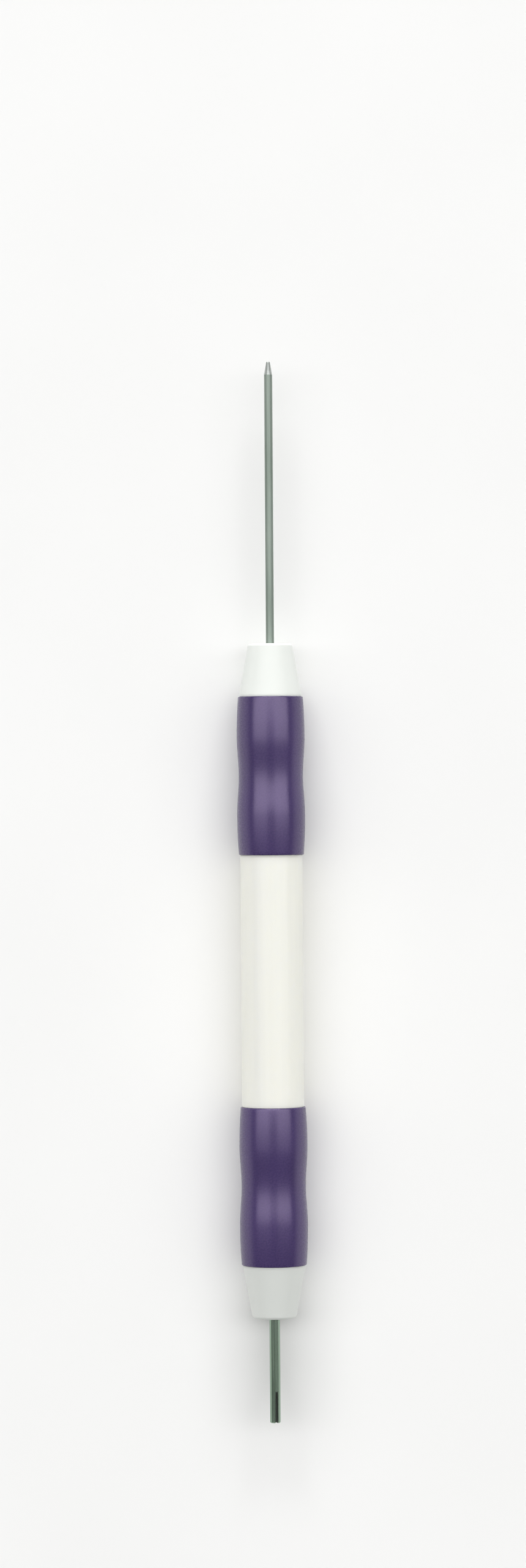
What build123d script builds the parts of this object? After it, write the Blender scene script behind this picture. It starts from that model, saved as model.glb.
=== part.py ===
from build123d import *
import os

os.makedirs("parts", exist_ok=True)

# Double-ended paper-quilling tool, in millimetres.
# It lies on its side on the plane z = 0 with its axis along Y: the long needle points to +Y and the
# slotted needle to -Y. The origin is on that plane, below the middle of the overall length.

# Long needle
needle_diameter = 1.3
needle_reach = 45.2
needle_taper_length = 2.1
needle_point_diameter = 0.6
needle_point_rounding = 0.18

# Slotted needle: the slot takes the end of a paper strip
slotted_diameter = 1.7
slotted_reach = 16.8
slot_width = 0.38
slot_length = 5.0
slot_roll_degrees = -18.0
slotted_end_chamfer = 0.12

# Barrel between the grips, and how far each part of a grip stands proud of it
barrel_diameter = 10.0
barrel_length = 40.4
barrel_wall = 1.15
barrel_edge_rounding = 0.15
grip_length = 25.3
grip_swell_proud = 0.45
grip_waist_proud = 0.15
grip_end_proud = 0.2
grip_edge_rounding = 0.12
grip_swell_share = 0.25

# Noses: a short land flush with the barrel, then a cone
nose_length = 8.5
nose_land_length = 0.4
nose_taper_drop = 1.5
nose_tip_rounding = 0.5
nose_land_rounding = 0.9
nose_edge_rounding = 0.12
nose_mouth_chamfer = 0.12

# Spigots that press the noses into the spine tube
spigot_length = 18.0
spigot_clearance = 0.15
spigot_lead_in = 0.4
crush_rib_count = 4
crush_rib_width = 0.6
crush_rib_gap = 0.02

# Spine tube through the handle, with splines that stop the sleeves from turning
spine_wall = 1.2
spine_end_gap = 0.1
spline_count = 3
spline_width = 1.2
spline_height_share = 0.38
sleeve_fit = 0.05

# Needle roots, moulded into the noses
root_floor = 2.0
root_groove_count = 5
root_groove_width = 0.8
root_groove_depth = 0.18
root_mouth_land = 0.15
root_flat_length = 4.0
root_flat_depth = 0.25
insert_fit = 0.02

# One overrun for every cut that runs out into the open
overrun = 1.0

# Radii worked out from the driving dimensions
needle_radius = needle_diameter / 2
slotted_radius = slotted_diameter / 2
barrel_radius = barrel_diameter / 2
grip_swell_radius = barrel_radius + grip_swell_proud
grip_waist_radius = barrel_radius + grip_waist_proud
grip_end_radius = barrel_radius + grip_end_proud
nose_tip_radius = barrel_radius - nose_taper_drop
spine_radius = barrel_radius - barrel_wall
spine_bore_radius = spine_radius - spine_wall
sleeve_bore_radius = spine_radius + sleeve_fit
spline_height = barrel_wall * spline_height_share
spigot_radius = spine_bore_radius - spigot_clearance
crush_rib_height = spigot_clearance - crush_rib_gap
root_depth = spigot_length - root_floor
root_first_groove = nose_length - root_mouth_land - root_groove_width / 2
root_groove_pitch = (nose_length + root_depth - root_flat_length) / root_groove_count

# Places along the axis
handle_length = barrel_length + 2 * grip_length
overall_length = needle_reach + slotted_reach + 2 * nose_length + handle_length
needle_base_y = overall_length / 2 - needle_reach - nose_length
slotted_base_y = needle_base_y - handle_length
axis_height = max(grip_swell_radius, grip_waist_radius, grip_end_radius, barrel_radius)

# Each end has its own plane through the tool's axis, at the base of its nose: local X is the
# radius, and local Y runs outwards along the needle.
needle_end = Plane(origin=(0, needle_base_y, axis_height), x_dir=(1, 0, 0), z_dir=(0, 0, 1))
slotted_end = Plane(origin=(0, slotted_base_y, axis_height), x_dir=(-1, 0, 0), z_dir=(0, 0, 1))


def end_axis(end):
    """The tool's axis, running outwards at this end."""
    return Axis(end.origin, end.y_dir)


def across(end, distance):
    """A plane square to the axis, this far outwards from the base of the nose."""
    return Plane(origin=end.from_local_coords((0, distance, 0)), x_dir=end.x_dir, z_dir=end.y_dir)


def spline_bars(start, length, margin):
    """The spine tube's splines as bars, grown by a margin for the grooves that they run in."""
    with BuildPart() as bars:
        with BuildSketch(across(needle_end, start)):
            with PolarLocations(spine_radius, spline_count):
                Rectangle(2 * (spline_height + margin), spline_width + 2 * margin)
        extrude(amount=length)
    return bars.part


def root_keys(end, radius, margin):
    """What is cut from a needle's root so that the plastic holds it: rings, and a flat at the end."""
    with BuildPart() as keys:
        with BuildSketch(end):
            for groove in range(root_groove_count):
                groove_y = root_first_groove - root_groove_pitch * groove
                with Locations((radius - root_groove_depth + margin, groove_y)):
                    Rectangle(radius, root_groove_width - 2 * margin, align=(Align.MIN, Align.CENTER))
        revolve(axis=end_axis(end))
        with BuildSketch(across(end, -root_depth - overrun)):
            with Locations((radius - root_flat_depth + margin, 0)):
                Rectangle(radius, 4 * radius, align=(Align.MIN, Align.CENTER))
        extrude(amount=overrun + root_flat_length)
    return keys.part


def moulded_nose(end, radius, label):
    """A white cone with its spigot and crush ribs, moulded round the root of a needle."""
    with BuildPart() as cavity:
        with BuildSketch(across(end, -root_depth - insert_fit)):
            Circle(radius + insert_fit)
        extrude(amount=insert_fit + root_depth + nose_length + overrun)
        add(root_keys(end, radius, insert_fit), mode=Mode.SUBTRACT)
    with BuildPart() as nose:
        with BuildSketch(end) as outline:
            with BuildLine():
                Polyline(
                    (0, -spigot_length),
                    (spigot_radius - spigot_lead_in, -spigot_length),
                    (spigot_radius, -spigot_length + spigot_lead_in),
                    (spigot_radius, 0),
                    (barrel_radius, 0),
                    (barrel_radius, nose_land_length),
                    (nose_tip_radius, nose_length),
                    (0, nose_length),
                    close=True,
                )
            make_face()
            for corner, rounding in (
                ((barrel_radius, 0), nose_edge_rounding),
                ((barrel_radius, nose_land_length), nose_land_rounding),
                ((nose_tip_radius, nose_length), nose_tip_rounding),
            ):
                fillet(outline.vertices().sort_by_distance(corner)[0], radius=rounding)
        revolve(axis=end_axis(end))
        with BuildSketch(across(end, spigot_lead_in - spigot_length)):
            with PolarLocations(spigot_radius, crush_rib_count):
                Rectangle(2 * crush_rib_height, crush_rib_width)
        extrude(amount=spigot_length - spigot_lead_in)
        add(cavity.part, mode=Mode.SUBTRACT)
        mouth = nose.edges().filter_by(GeomType.CIRCLE).sort_by_distance(across(end, nose_length).origin)[0]
        chamfer(mouth, length=nose_mouth_chamfer)
    nose.part.label = label
    return nose.part


def soft_grip(start, label):
    """A soft sleeve with two swells and a waist, grooved inside for the splines."""
    stop = start + grip_length
    swell_length = grip_length * grip_swell_share
    first_corner = (grip_end_radius, start)
    first_swell = (grip_swell_radius, start + swell_length)
    waist = (grip_waist_radius, start + grip_length / 2)
    last_swell = (grip_swell_radius, stop - swell_length)
    last_corner = (grip_end_radius, stop)
    # Each swell turns into the waist halfway between them
    turn_radius = (grip_swell_radius + grip_waist_radius) / 2
    first_turn = (turn_radius, (first_swell[1] + waist[1]) / 2)
    last_turn = (turn_radius, (last_swell[1] + waist[1]) / 2)
    inwards = (0, -1)
    outwards = (0, 1)
    with BuildPart() as grip:
        with BuildSketch(needle_end) as wall:
            with BuildLine():
                TangentArc(first_swell, first_corner, tangent=inwards)
                TangentArc(first_swell, first_turn, tangent=outwards)
                ThreePointArc(first_turn, waist, last_turn)
                TangentArc(last_swell, last_turn, tangent=inwards)
                TangentArc(last_swell, last_corner, tangent=outwards)
                Polyline(last_corner, (sleeve_bore_radius, stop), (sleeve_bore_radius, start), first_corner)
            make_face()
            for corner in (first_corner, last_corner):
                fillet(wall.vertices().sort_by_distance(corner)[0], radius=grip_edge_rounding)
        revolve(axis=end_axis(needle_end))
        add(spline_bars(start, grip_length, sleeve_fit), mode=Mode.SUBTRACT)
    grip.part.label = label
    return grip.part


# Long needle: a plain wire with a blunt tapered point
with BuildPart() as needle:
    with BuildSketch(needle_end) as needle_outline:
        with BuildLine():
            Polyline(
                (0, -root_depth),
                (needle_radius, -root_depth),
                (needle_radius, nose_length + needle_reach - needle_taper_length),
                (needle_point_diameter / 2, nose_length + needle_reach),
                (0, nose_length + needle_reach),
                close=True,
            )
        make_face()
        point_corner = (needle_point_diameter / 2, nose_length + needle_reach)
        fillet(needle_outline.vertices().sort_by_distance(point_corner)[0], radius=needle_point_rounding)
    revolve(axis=end_axis(needle_end))
    add(root_keys(needle_end, needle_radius, 0), mode=Mode.SUBTRACT)
needle.part.label = "needle"

# Slotted needle: a thicker wire, cut square and slit across its end
slotted_tip = nose_length + slotted_reach
with BuildPart() as slotted_needle:
    with BuildSketch(across(slotted_end, -root_depth)):
        Circle(slotted_radius)
    extrude(amount=root_depth + slotted_tip)
    tip_rim = slotted_needle.edges().filter_by(GeomType.CIRCLE).sort_by(end_axis(slotted_end))[-1]
    chamfer(tip_rim, length=slotted_end_chamfer)
    with BuildSketch(across(slotted_end, slotted_tip - slot_length)):
        Rectangle(slot_width, 4 * slotted_radius, rotation=slot_roll_degrees)
    extrude(amount=slot_length + overrun, mode=Mode.SUBTRACT)
    add(root_keys(slotted_end, slotted_radius, 0), mode=Mode.SUBTRACT)
slotted_needle.part.label = "slotted_needle"

needle_nose = moulded_nose(needle_end, needle_radius, "needle_nose")
slotted_nose = moulded_nose(slotted_end, slotted_radius, "slotted_nose")
needle_end_grip = soft_grip(-grip_length, "needle_end_grip")
slotted_end_grip = soft_grip(-handle_length, "slotted_end_grip")

# Barrel sleeve: the plain tube that shows between the grips
barrel_start = -grip_length - barrel_length
with BuildPart() as barrel_sleeve:
    with BuildSketch(across(needle_end, barrel_start)):
        Circle(barrel_radius)
        Circle(sleeve_bore_radius, mode=Mode.SUBTRACT)
    extrude(amount=barrel_length)
    outer_rims = barrel_sleeve.edges().filter_by(GeomType.CIRCLE).group_by(SortBy.RADIUS)[-1]
    fillet(outer_rims, radius=barrel_edge_rounding)
    add(spline_bars(barrel_start, barrel_length, sleeve_fit), mode=Mode.SUBTRACT)
barrel_sleeve.part.label = "barrel_sleeve"

# Spine tube: carries the sleeves and takes a spigot at each end
spine_start = spine_end_gap - handle_length
spine_length = handle_length - 2 * spine_end_gap
with BuildPart() as spine_tube:
    with BuildSketch(across(needle_end, spine_start)):
        Circle(spine_radius)
    extrude(amount=spine_length)
    add(spline_bars(spine_start, spine_length, 0))
    with BuildSketch(across(needle_end, spine_start)):
        Circle(spine_bore_radius)
    extrude(amount=spine_length, mode=Mode.SUBTRACT)
spine_tube.part.label = "spine_tube"

pieces = (
    needle.part,
    slotted_needle.part,
    needle_nose,
    slotted_nose,
    needle_end_grip,
    slotted_end_grip,
    barrel_sleeve.part,
    spine_tube.part,
)
for piece in pieces:
    export_step(piece, "parts/" + piece.label + ".step")
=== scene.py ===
import math

import bmesh
import bpy
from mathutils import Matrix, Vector


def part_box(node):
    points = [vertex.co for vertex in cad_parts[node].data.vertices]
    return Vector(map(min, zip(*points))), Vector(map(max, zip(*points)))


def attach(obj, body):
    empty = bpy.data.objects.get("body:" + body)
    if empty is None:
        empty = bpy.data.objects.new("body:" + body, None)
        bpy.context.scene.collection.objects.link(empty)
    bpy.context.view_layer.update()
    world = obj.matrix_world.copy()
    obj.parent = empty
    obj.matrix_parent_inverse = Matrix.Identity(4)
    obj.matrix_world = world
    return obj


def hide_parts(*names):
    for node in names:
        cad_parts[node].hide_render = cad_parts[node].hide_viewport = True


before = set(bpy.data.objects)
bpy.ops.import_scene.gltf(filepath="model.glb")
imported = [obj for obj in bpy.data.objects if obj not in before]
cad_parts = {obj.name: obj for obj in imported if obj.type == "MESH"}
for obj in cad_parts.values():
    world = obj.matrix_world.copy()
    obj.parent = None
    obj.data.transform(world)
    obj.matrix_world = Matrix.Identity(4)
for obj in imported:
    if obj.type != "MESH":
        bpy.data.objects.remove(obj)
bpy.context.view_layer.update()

# One millimetre in metres, which are the frame's units
MM = 0.001

# Fineness of the turned pieces
SEGMENTS = 144
ARC_STEPS = 6
CURVE_STEPS = 48
SMOOTH_LIMIT = math.radians(30)

# Long needle, beside what the frame gives
NEEDLE_TAPER = 2.1 * MM
NEEDLE_SHOULDER_ROUNDING = 0.6 * MM
NEEDLE_POINT_RADIUS = 0.3 * MM
NEEDLE_POINT_ROUNDING = 0.18 * MM

# Slotted needle, whose slot has broken edges that open a little at the end
SLOT_WIDTH = 0.38 * MM
SLOT_LENGTH = 5.0 * MM
SLOT_ROLL = math.radians(18)
SLOT_EDGE = 0.04 * MM
SLOT_END_EDGE = 0.08 * MM
SLOTTED_END_CHAMFER = 0.12 * MM
PRONG_STEPS = 28

# Noses and the holes that the needles are moulded into
NOSE_LAND = 0.4 * MM
NOSE_TAPER_DROP = 1.5 * MM
NOSE_LAND_ROUNDING = 0.9 * MM
NOSE_TIP_ROUNDING = 0.5 * MM
NOSE_BASE_ROUNDING = 0.12 * MM
MOUTH_CHAMFER = 0.12 * MM
ROOT_FLOOR = 2.0 * MM
ROOT_FIT = 0.02 * MM
SPIGOT_RADIUS = 2.5 * MM
SPIGOT_LEAD_IN = 0.4 * MM
PARTING_HEIGHT = 0.012 * MM
PARTING_WIDTH = 0.12 * MM

# Grips and barrel sleeve, with grooves for the three splines inside
GRIP_WAIST_DROP = 0.3 * MM
GRIP_END_DROP = 0.25 * MM
GRIP_SWELL_SHARE = 0.25
GRIP_EDGE_ROUNDING = 0.12 * MM
BARREL_EDGE_ROUNDING = 0.15 * MM
BORE_RADIUS = 3.9 * MM
GROOVE_RADIUS = 4.34 * MM
GROOVE_COUNT = 3
GROOVE_HALF_ANGLE = math.radians(10)

# Where a second material stands in a piece's list
SECOND_MATERIAL = 1

# Noise stays mostly between these two values, so they carry a material's two extremes
NOISE_LOW = 0.3
NOISE_HIGH = 0.7

# Where the photograph shows the tool, in its own pixels
IMAGE_WIDTH = 859
IMAGE_HEIGHT = 2560
MIDDLE_PIXEL = (443.7, 1456.6)
PIXELS_PER_MM = 10.19
LEAN = math.radians(0.40)
CAMERA_HEIGHT = 0.8

# Half the width of the floor
FLOOR_HALF_WIDTH = 2.5

# Wide soft lamps overhead that leave a notch above the camera, and a low one beyond the long needle.
# A lamp's brightness is what a mirror would show of it, where a white floor shows about 1.
OVERHEAD_HEIGHT = 4.0
OVERHEAD_REACH = 7.4
OVERHEAD_START = -0.06
OVERHEAD_END = 1.8
OVERHEAD_BRIGHTNESS = 2.65
NOTCH_HALF_WIDTH = 0.9
NOTCH_END = 0.3
LOW_PLACE = (0, 9.6, 4.05)
LOW_SIZE = (8.4, 2.55)
LOW_BRIGHTNESS = 15.5

# The surround: pale up to a little above the horizon, and dim overhead
HORIZON_STRENGTH = 0.72
HORIZON_TOP = 0.14
SURROUND_STRENGTH = 0.18
SURROUND_START = 0.24


def span(node):
    """Where a node starts and ends along the tool."""
    low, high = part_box(node)
    return low.y, high.y


def radius_of(node):
    """A node's largest radius."""
    low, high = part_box(node)
    return (high.x - low.x) / 2


barrel_low, barrel_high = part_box("barrel_sleeve")
AXIS_Z = (barrel_low.z + barrel_high.z) / 2
BARREL_RADIUS = radius_of("barrel_sleeve")


def rounded(corners):
    """An outline's points: each corner is (radius, y, rounding), and a rounding above 0 becomes an arc."""
    points = []
    for index, (radius, y, rounding) in enumerate(corners):
        corner = Vector((radius, y))
        if rounding == 0:
            points.append(corner)
            continue
        before = (Vector(corners[index - 1][:2]) - corner).normalized()
        after = (Vector(corners[(index + 1) % len(corners)][:2]) - corner).normalized()
        half_angle = before.angle(after) / 2
        centre = corner + (before + after).normalized() * rounding / math.sin(half_angle)
        setback = rounding / math.tan(half_angle)
        start = corner + before * setback - centre
        stop = corner + after * setback - centre
        for step in range(ARC_STEPS + 1):
            points.append(centre + start.lerp(stop, step / ARC_STEPS).normalized() * rounding)
    return points


def even_angles():
    """Evenly spaced directions round the tool's axis."""
    return [math.tau * step / SEGMENTS for step in range(SEGMENTS)]


def placed(name, shape):
    """Turns a bmesh into an object of the scene."""
    mesh = bpy.data.meshes.new(name)
    shape.to_mesh(mesh)
    shape.free()
    thing = bpy.data.objects.new(name, mesh)
    bpy.context.scene.collection.objects.link(thing)
    return thing


def finished(name, shape):
    """Turns a bmesh into a piece with smooth faces and crisp corners."""
    bmesh.ops.recalc_face_normals(shape, faces=shape.faces)
    for face in shape.faces:
        face.smooth = True
    for edge in shape.edges:
        edge.smooth = edge.calc_face_angle(0) < SMOOTH_LIMIT
    piece = placed(name, shape)
    normals = piece.modifiers.new("normals", "WEIGHTED_NORMAL")
    normals.keep_sharp = True
    return piece


def turned(name, outline, angles, radius_at):
    """A piece turned about the tool's axis. An outline that starts on the axis also ends there, and
    any other outline is a closed ring. radius_at shapes it round the turn."""
    shape = bmesh.new()
    rings = []
    for radius, y in outline:
        if radius == 0:
            rings.append([shape.verts.new((0, y, AXIS_Z))])
            continue
        ring = []
        for angle in angles:
            reach = radius_at(radius, angle)
            ring.append(shape.verts.new((reach * math.cos(angle), y, AXIS_Z + reach * math.sin(angle))))
        rings.append(ring)
    if len(rings[0]) > 1:
        rings.append(rings[0])
    for near, far in zip(rings, rings[1:]):
        for index in range(len(angles)):
            after = index + 1
            corners = (
                near[index % len(near)],
                near[after % len(near)],
                far[after % len(far)],
                far[index % len(far)],
            )
            # A ring of one point on the axis gives a triangle, so its point is kept once
            shape.faces.new(list(dict.fromkeys(corners)))
    return finished(name, shape)


def plain_radius(radius, angle):
    """Leaves a piece round."""
    return radius


def grooved_radius(radius, angle):
    """Sinks the spline grooves into a sleeve's bore."""
    pitch = math.tau / GROOVE_COUNT
    from_groove = abs((angle + pitch / 2) % pitch - pitch / 2)
    return max(radius, GROOVE_RADIUS) if from_groove < GROOVE_HALF_ANGLE else radius


def long_needle():
    """Drawn wire with a ground, blunt point in a second material, brighter partly as a painted highlight.
    Its root runs down into the nose.
    """
    root, tip = span("needle")
    radius = radius_of("needle")
    shoulder = tip - NEEDLE_TAPER
    outline = rounded(
        [
            (0, root, 0),
            (radius, root, 0),
            (radius, shoulder, NEEDLE_SHOULDER_ROUNDING),
            (NEEDLE_POINT_RADIUS, tip, NEEDLE_POINT_ROUNDING),
            (0, tip, 0),
        ]
    )
    wire = turned("long_needle", outline, even_angles(), plain_radius)
    for face in wire.data.polygons:
        # The point takes the brighter material, which is partly a painted highlight
        if face.center.y > shoulder:
            face.material_index = SECOND_MATERIAL
    return wire


def prong_outline(radius, edge):
    """The D-shaped section of the prong on the +X side, as (x, z) from the axis: its arc, then the two
    ends of its flat."""
    flat = SLOT_WIDTH / 2 + edge
    reach = math.acos(flat / radius)
    outline = []
    for step in range(PRONG_STEPS + 1):
        angle = reach * (2 * step / PRONG_STEPS - 1)
        outline.append((radius * math.cos(angle), radius * math.sin(angle)))
    depth = radius * math.sin(reach) - SLOT_EDGE
    return outline + [(flat - SLOT_EDGE, depth), (flat - SLOT_EDGE, -depth)]


def slotted_needle():
    """Thicker wire cut square, with a slot across its end that splits it into two prongs. The slot's walls
    and floor have a second material, which paints shade into the slot."""
    tip, root = span("slotted_needle")
    radius = radius_of("slotted_needle")
    slot_floor = tip + SLOT_LENGTH
    shape = bmesh.new()

    def vert(section_x, section_z, y):
        x = section_x * math.cos(SLOT_ROLL) + section_z * math.sin(SLOT_ROLL)
        z = section_z * math.cos(SLOT_ROLL) - section_x * math.sin(SLOT_ROLL)
        return shape.verts.new((x, y, AXIS_Z + z))

    floor_corners = []
    floor_ring = []
    for facing in (1, -1):
        loops = []
        for section_radius, edge, y in (
            (radius, SLOT_EDGE, slot_floor),
            (radius, SLOT_EDGE, tip + SLOTTED_END_CHAMFER),
            (radius - SLOTTED_END_CHAMFER, SLOT_END_EDGE, tip),
        ):
            outline = prong_outline(section_radius, edge)
            loops.append([vert(facing * x, facing * z, y) for x, z in outline])
        for near, far in zip(loops, loops[1:]):
            for index in range(len(near)):
                after = (index + 1) % len(near)
                face = shape.faces.new((near[index], near[after], far[after], far[index]))
                # The slot's flat walls take the second material, which is painted shade
                if index == PRONG_STEPS + 1:
                    face.material_index = SECOND_MATERIAL
        shape.faces.new(loops[-1])
        arc = loops[0][: PRONG_STEPS + 1]
        flat_start, flat_stop = loops[0][PRONG_STEPS + 1 :]
        floor_corners += [arc[0], flat_stop, flat_start, arc[-1]]
        floor_ring += arc
    floor = shape.faces.new(floor_corners)
    # The slot's floor takes the painted-shade material too
    floor.material_index = SECOND_MATERIAL
    root_ring = [shape.verts.new((v.co.x, root, v.co.z)) for v in floor_ring]
    for index in range(len(floor_ring)):
        after = (index + 1) % len(floor_ring)
        shape.faces.new((floor_ring[index], floor_ring[after], root_ring[after], root_ring[index]))
    shape.faces.new(root_ring)
    return finished("slotted_wire", shape)


def nose(name, node, grip_node, needle_radius, outwards):
    """A moulded cone with its spigot, a hole for the needle and a faint parting line on each flank."""
    low, high = span(node)
    grip_low, grip_high = span(grip_node)
    base, tip, spigot_end = (grip_high, high, low) if outwards > 0 else (grip_low, low, high)
    hole = needle_radius + ROOT_FIT
    floor = spigot_end + outwards * (ROOT_FLOOR - ROOT_FIT)
    tip_radius = BARREL_RADIUS - NOSE_TAPER_DROP
    outline = rounded(
        [
            (0, spigot_end, 0),
            (SPIGOT_RADIUS - SPIGOT_LEAD_IN, spigot_end, 0),
            (SPIGOT_RADIUS, spigot_end + outwards * SPIGOT_LEAD_IN, 0),
            (SPIGOT_RADIUS, base, 0),
            (BARREL_RADIUS, base, NOSE_BASE_ROUNDING),
            (BARREL_RADIUS, base + outwards * NOSE_LAND, NOSE_LAND_ROUNDING),
            (tip_radius, tip, NOSE_TIP_ROUNDING),
            (hole + MOUTH_CHAMFER, tip, 0),
            (hole, tip - outwards * MOUTH_CHAMFER, 0),
            (hole, floor, 0),
            (0, floor, 0),
        ]
    )
    parting_half_angle = PARTING_WIDTH / 2 / BARREL_RADIUS
    angles = even_angles()
    for flank in (0, math.pi):
        angles += [(flank - parting_half_angle) % math.tau, flank + parting_half_angle]
    angles.sort()

    def parted_radius(radius, angle):
        outside = radius >= tip_radius - NOSE_TIP_ROUNDING
        from_flank = min(angle % math.pi, math.pi - angle % math.pi)
        on_flank = from_flank < parting_half_angle / 2
        return radius + PARTING_HEIGHT if outside and on_flank else radius

    return turned(name, outline, angles, parted_radius)


def grip(name, node):
    """A soft sleeve whose two swells and waist are smooth curves."""
    start, stop = span(node)
    swell = radius_of(node)
    length = stop - start
    swell_length = length * GRIP_SWELL_SHARE

    def outer(y):
        from_end = min(y - start, stop - y)
        if from_end < swell_length:
            return swell - GRIP_END_DROP * (1 - from_end / swell_length) ** 2
        towards_waist = (from_end - swell_length) / (length / 2 - swell_length)
        return swell - GRIP_WAIST_DROP * (1 - math.cos(math.pi * towards_waist)) / 2

    corners = [(BORE_RADIUS, stop, 0), (BORE_RADIUS, start, 0), (outer(start), start, GRIP_EDGE_ROUNDING)]
    for step in range(1, CURVE_STEPS):
        y = start + length * step / CURVE_STEPS
        corners.append((outer(y), y, 0))
    corners.append((outer(stop), stop, GRIP_EDGE_ROUNDING))
    return turned(name, rounded(corners), even_angles(), grooved_radius)


def barrel():
    """The plain tube between the grips, with its ends broken."""
    start, stop = span("barrel_sleeve")
    outline = rounded(
        [
            (BORE_RADIUS, stop, 0),
            (BORE_RADIUS, start, 0),
            (BARREL_RADIUS, start, BARREL_EDGE_ROUNDING),
            (BARREL_RADIUS, stop, BARREL_EDGE_ROUNDING),
        ]
    )
    return turned("barrel", outline, even_angles(), grooved_radius)


class Surface:
    """A material whose colour, roughness and relief come from noise in the frame's own space."""

    def __init__(self, name):
        self.material = bpy.data.materials.new(name)
        self.material.use_nodes = True
        self.tree = self.material.node_tree
        self.shader = self.tree.nodes["Principled BSDF"]

    def set(self, **values):
        """Gives the shader's own sockets what is the same all over the surface."""
        for socket, value in values.items():
            self.shader.inputs[socket.replace("_", " ")].default_value = value

    def noise(self, spots_per_mm, detail):
        """Noise with so many spots per millimetre along X, Y and Z."""
        place = self.tree.nodes.new("ShaderNodeTexCoord")
        scale = self.tree.nodes.new("ShaderNodeMapping")
        scale.inputs["Scale"].default_value = [spots / MM for spots in spots_per_mm]
        texture = self.tree.nodes.new("ShaderNodeTexNoise")
        texture.inputs["Scale"].default_value = 1
        texture.inputs["Detail"].default_value = detail
        self.tree.links.new(place.outputs["Object"], scale.inputs["Vector"])
        self.tree.links.new(scale.outputs["Vector"], texture.inputs["Vector"])
        return texture.outputs["Fac"]

    def colour(self, factor, low, high):
        """Lets a noise vary the colour between two tones."""
        ramp = self.tree.nodes.new("ShaderNodeValToRGB")
        first, last = ramp.color_ramp.elements
        first.position, last.position = NOISE_LOW, NOISE_HIGH
        first.color, last.color = (*low, 1), (*high, 1)
        self.tree.links.new(factor, ramp.inputs["Fac"])
        self.tree.links.new(ramp.outputs["Color"], self.shader.inputs["Base Color"])

    def roughness(self, factor, smooth, rough):
        """Lets a noise vary the roughness between two values."""
        spread = self.tree.nodes.new("ShaderNodeMapRange")
        spread.inputs["From Min"].default_value = NOISE_LOW
        spread.inputs["From Max"].default_value = NOISE_HIGH
        spread.inputs["To Min"].default_value = smooth
        spread.inputs["To Max"].default_value = rough
        self.tree.links.new(factor, spread.inputs["Value"])
        self.tree.links.new(spread.outputs["Result"], self.shader.inputs["Roughness"])

    def relief(self, factor, height):
        """Raises the surface by up to a height where a noise is high."""
        bump = self.tree.nodes.new("ShaderNodeBump")
        bump.inputs["Strength"].default_value = 1
        bump.inputs["Distance"].default_value = height
        self.tree.links.new(factor, bump.inputs["Height"])
        self.tree.links.new(bump.outputs["Normal"], self.shader.inputs["Normal"])


def drawn_wire(name, low, high, smooth, rough):
    """Drawn steel wire: fine lines along it, and a slow change of tone."""
    made = Surface(name)
    made.set(Metallic=1)
    lines = made.noise(spots_per_mm=(9, 0.12, 9), detail=3)
    made.colour(made.noise(spots_per_mm=(0.5, 0.08, 0.5), detail=2), low, high)
    made.roughness(lines, smooth, rough)
    made.relief(lines, height=0.002 * MM)
    return made.material


def satin_steel():
    """The long needle's wire."""
    tones = {"low": (0.25, 0.3, 0.26), "high": (0.31, 0.36, 0.32)}
    return drawn_wire("steel_wire", **tones, smooth=0.46, rough=0.54)


def polished_steel_painted_green():
    """The slotted needle's wire, smoother, with a green tone that is a painted reflection of green
    surroundings.
    """
    # Painted reflection: the green in these tones stands for green surroundings seen in the steel
    tones = {"low": (0.275, 0.375, 0.285), "high": (0.335, 0.435, 0.345)}
    return drawn_wire("steel_wire_dark", **tones, smooth=0.18, rough=0.25)


def ground_point_painted_highlight():
    """Freshly ground steel of the long needle's point, with fine rings round it. It is brighter than the
    wire partly as ground steel and partly as a painted highlight on the taper.
    """
    made = Surface("ground_point_painted_highlight")
    made.set(Metallic=1)
    rings = made.noise(spots_per_mm=(0.3, 12, 0.3), detail=2)
    # Painted highlight, in part: these tones are lighter than the wire's to brighten the taper
    made.colour(rings, low=(0.44, 0.47, 0.45), high=(0.52, 0.55, 0.53))
    made.roughness(rings, smooth=0.3, rough=0.38)
    made.relief(rings, height=0.001 * MM)
    return made.material


def slot_cut_painted_shade():
    """Sawn walls of the slot, rougher than the drawn wire and much darker: partly the cut steel's own tone,
    mostly painted shade in the narrow slot.
    """
    made = Surface("slot_cut_painted_shade")
    made.set(Metallic=1)
    stains_over_painted_shade = made.noise(spots_per_mm=(3, 0.5, 3), detail=2)
    # Painted shade: these tones are far darker than the wire because shade falls in the narrow slot
    made.colour(stains_over_painted_shade, low=(0.05, 0.075, 0.055), high=(0.08, 0.11, 0.085))
    made.roughness(made.noise(spots_per_mm=(6, 1, 6), detail=2), smooth=0.5, rough=0.65)
    return made.material


def nose_plastic():
    """Glossy white moulding."""
    made = Surface("nose_plastic")
    clouds = made.noise(spots_per_mm=(0.15, 0.15, 0.15), detail=2)
    made.colour(clouds, low=(0.755, 0.78, 0.745), high=(0.77, 0.795, 0.76))
    made.roughness(made.noise(spots_per_mm=(0.5, 0.5, 0.5), detail=2), smooth=0.28, rough=0.31)
    made.relief(made.noise(spots_per_mm=(0.3, 0.3, 0.3), detail=1), height=0.004 * MM)
    return made.material


def barrel_plastic():
    """Slightly milky extruded tube, with faint lines along it."""
    made = Surface("barrel_plastic")
    made.set(Subsurface_Weight=0.5, Subsurface_Radius=(1, 0.95, 0.8), Subsurface_Scale=2.2 * MM)
    lines = made.noise(spots_per_mm=(1.6, 0.02, 1.6), detail=3)
    made.colour(lines, low=(0.92, 0.91, 0.81), high=(0.935, 0.925, 0.825))
    made.roughness(made.noise(spots_per_mm=(1.2, 0.3, 1.2), detail=3), smooth=0.3, rough=0.36)
    made.relief(lines, height=0.0012 * MM)
    return made.material


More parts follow.
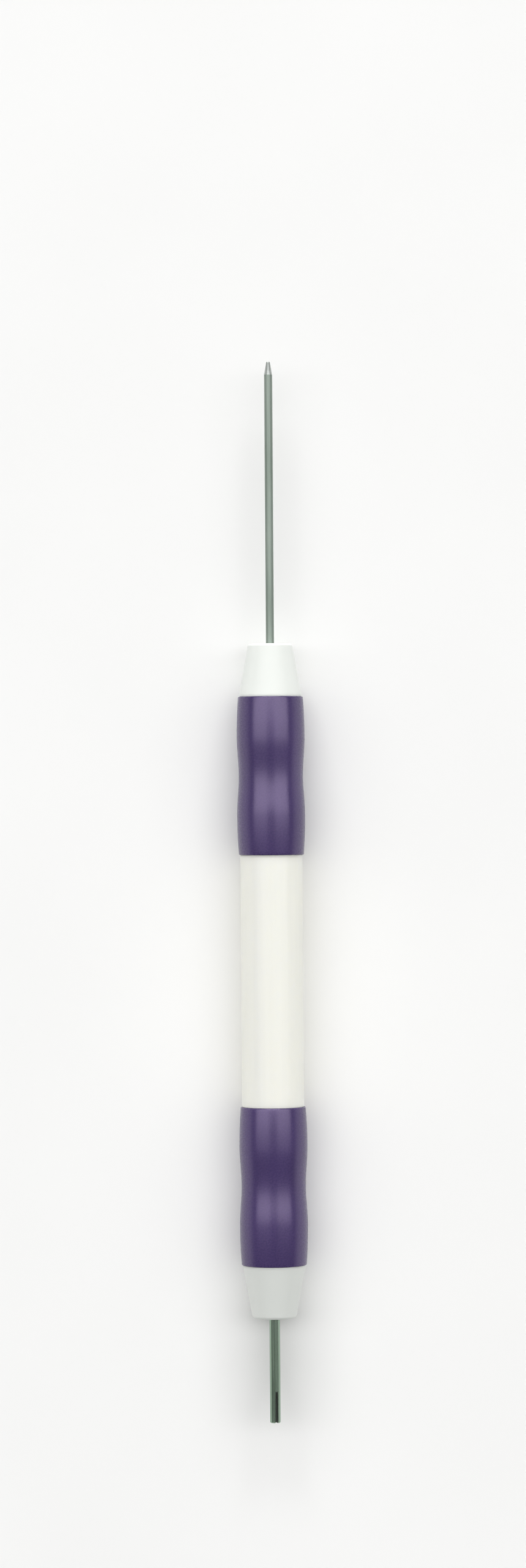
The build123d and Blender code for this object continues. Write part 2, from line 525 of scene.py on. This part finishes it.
def grip_rubber():
    """Soft satin sleeve: broad highlights and a fine tooth."""
    made = Surface("grip_rubber")
    made.set(Specular_IOR_Level=1, Specular_Tint=(0.86, 0.73, 1, 1))
    clouds = made.noise(spots_per_mm=(0.35, 0.12, 0.35), detail=3)
    made.colour(clouds, low=(0.037, 0.022, 0.094), high=(0.045, 0.027, 0.11))
    made.roughness(made.noise(spots_per_mm=(3, 3, 3), detail=3), smooth=0.26, rough=0.29)
    made.relief(made.noise(spots_per_mm=(7, 7, 7), detail=2), height=0.0003 * MM)
    return made.material


def spine_plastic():
    """Unpolished tube inside the handle."""
    made = Surface("spine_plastic")
    lines = made.noise(spots_per_mm=(1, 0.05, 1), detail=2)
    made.colour(lines, low=(0.66, 0.66, 0.63), high=(0.72, 0.72, 0.7))
    made.roughness(made.noise(spots_per_mm=(2, 2, 2), detail=2), smooth=0.55, rough=0.7)
    return made.material


def floor_paper():
    """Pale matt paper, with slow clouds in its tone."""
    made = Surface("floor_paper")
    clouds = made.noise(spots_per_mm=(0.02, 0.02, 0.02), detail=2)
    made.colour(clouds, low=(0.9, 0.9, 0.89), high=(0.92, 0.92, 0.91))
    made.set(Roughness=0.9, Specular_IOR_Level=0.2)
    return made.material


def dress(piece, node, slot, *materials):
    """Puts a piece in a node's place, and gives it its materials."""
    for material in materials:
        piece.data.materials.append(material)
    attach(piece, "root")
    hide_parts(node)


def make_tool():
    """All the pieces. The spine tube keeps its node's shape, and the others replace their nodes."""
    dress(long_needle(), "needle", "steel_wire", satin_steel(), ground_point_painted_highlight())
    dress(slotted_needle(), "slotted_needle", "steel_wire_dark", polished_steel_painted_green(), slot_cut_painted_shade())
    noses = nose_plastic()
    needle_cone = nose("needle_cone", "needle_nose", "needle_end_grip", radius_of("needle"), outwards=1)
    dress(needle_cone, "needle_nose", "white_plastic", noses)
    slotted_radius = radius_of("slotted_needle")
    slotted_cone = nose("slotted_cone", "slotted_nose", "slotted_end_grip", slotted_radius, outwards=-1)
    dress(slotted_cone, "slotted_nose", "white_plastic", noses)
    grips = grip_rubber()
    for name, node in (("needle_end_sleeve", "needle_end_grip"), ("slotted_end_sleeve", "slotted_end_grip")):
        dress(grip(name, node), node, "purple_grip", grips)
    dress(barrel(), "barrel_sleeve", "barrel_plastic", barrel_plastic())
    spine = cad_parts["spine_tube"]
    spine.data.materials.clear()
    spine.data.materials.append(spine_plastic())


def make_floor():
    """A pale floor, level with the bottom of the grips' swells."""
    shape = bmesh.new()
    bmesh.ops.create_grid(shape, x_segments=1, y_segments=1, size=FLOOR_HALF_WIDTH)
    floor = placed("floor", shape)
    floor.data.materials.append(floor_paper())


def make_camera():
    """Straight above the tool, and turned so that its long needle leans a little to the left."""
    pixels_per_metre = PIXELS_PER_MM / MM
    right = Vector((math.cos(LEAN), -math.sin(LEAN), 0))
    up = Vector((math.sin(LEAN), math.cos(LEAN), 0))
    across = (MIDDLE_PIXEL[0] - IMAGE_WIDTH / 2) / pixels_per_metre
    along = (IMAGE_HEIGHT / 2 - MIDDLE_PIXEL[1]) / pixels_per_metre
    camera = bpy.data.objects.new("camera", bpy.data.cameras.new("camera"))
    bpy.context.scene.collection.objects.link(camera)
    camera.location = Vector((0, 0, AXIS_Z + CAMERA_HEIGHT)) - right * across - up * along
    camera.rotation_euler = (0, 0, -LEAN)
    view_height = IMAGE_HEIGHT / pixels_per_metre
    camera.data.lens = camera.data.sensor_width * CAMERA_HEIGHT / view_height
    bpy.context.scene.camera = camera


def make_surround():
    """A world whose brightness depends only on how far above the horizon it is seen."""
    world = bpy.data.worlds.new("surround")
    bpy.context.scene.world = world
    world.use_nodes = True
    tree = world.node_tree
    background = tree.nodes["Background"]
    background.inputs["Color"].default_value = (1, 1, 1, 1)
    direction = tree.nodes.new("ShaderNodeTexCoord")
    parts = tree.nodes.new("ShaderNodeSeparateXYZ")
    fade = tree.nodes.new("ShaderNodeMapRange")
    fade.interpolation_type = "SMOOTHSTEP"
    fade.inputs["From Min"].default_value = HORIZON_TOP
    fade.inputs["From Max"].default_value = SURROUND_START
    fade.inputs["To Min"].default_value = HORIZON_STRENGTH
    fade.inputs["To Max"].default_value = SURROUND_STRENGTH
    tree.links.new(direction.outputs["Generated"], parts.inputs["Vector"])
    tree.links.new(parts.outputs["Z"], fade.inputs["Value"])
    tree.links.new(fade.outputs["Result"], background.inputs["Strength"])


def area_lamp(name, place, target, size, brightness):
    """A rectangular lamp that faces a target."""
    lamp = bpy.data.objects.new(name, bpy.data.lights.new(name, "AREA"))
    lamp.data.shape = "RECTANGLE"
    lamp.data.size, lamp.data.size_y = size
    lamp.data.energy = brightness * math.pi * size[0] * size[1]
    lamp.location = place
    lamp.rotation_euler = (Vector(target) - Vector(place)).to_track_quat("-Z", "Y").to_euler()
    bpy.context.scene.collection.objects.link(lamp)


def make_lights():
    """Three overhead lamps side by side, the middle one set back from the camera, and the low lamp."""
    for name, left, right, start in (
        ("lamp_left", -OVERHEAD_REACH, -NOTCH_HALF_WIDTH, OVERHEAD_START),
        ("lamp_middle", -NOTCH_HALF_WIDTH, NOTCH_HALF_WIDTH, NOTCH_END),
        ("lamp_right", NOTCH_HALF_WIDTH, OVERHEAD_REACH, OVERHEAD_START),
    ):
        x = (left + right) / 2
        y = (start + OVERHEAD_END) / 2
        size = (right - left, OVERHEAD_END - start)
        area_lamp(name, (x, y, OVERHEAD_HEIGHT), (x, y, 0), size, OVERHEAD_BRIGHTNESS)
    area_lamp("lamp_low", LOW_PLACE, (0, 0, 0), LOW_SIZE, LOW_BRIGHTNESS)


bpy.context.scene.view_settings.view_transform = "Standard"
make_tool()
make_floor()
make_camera()
make_surround()
make_lights()
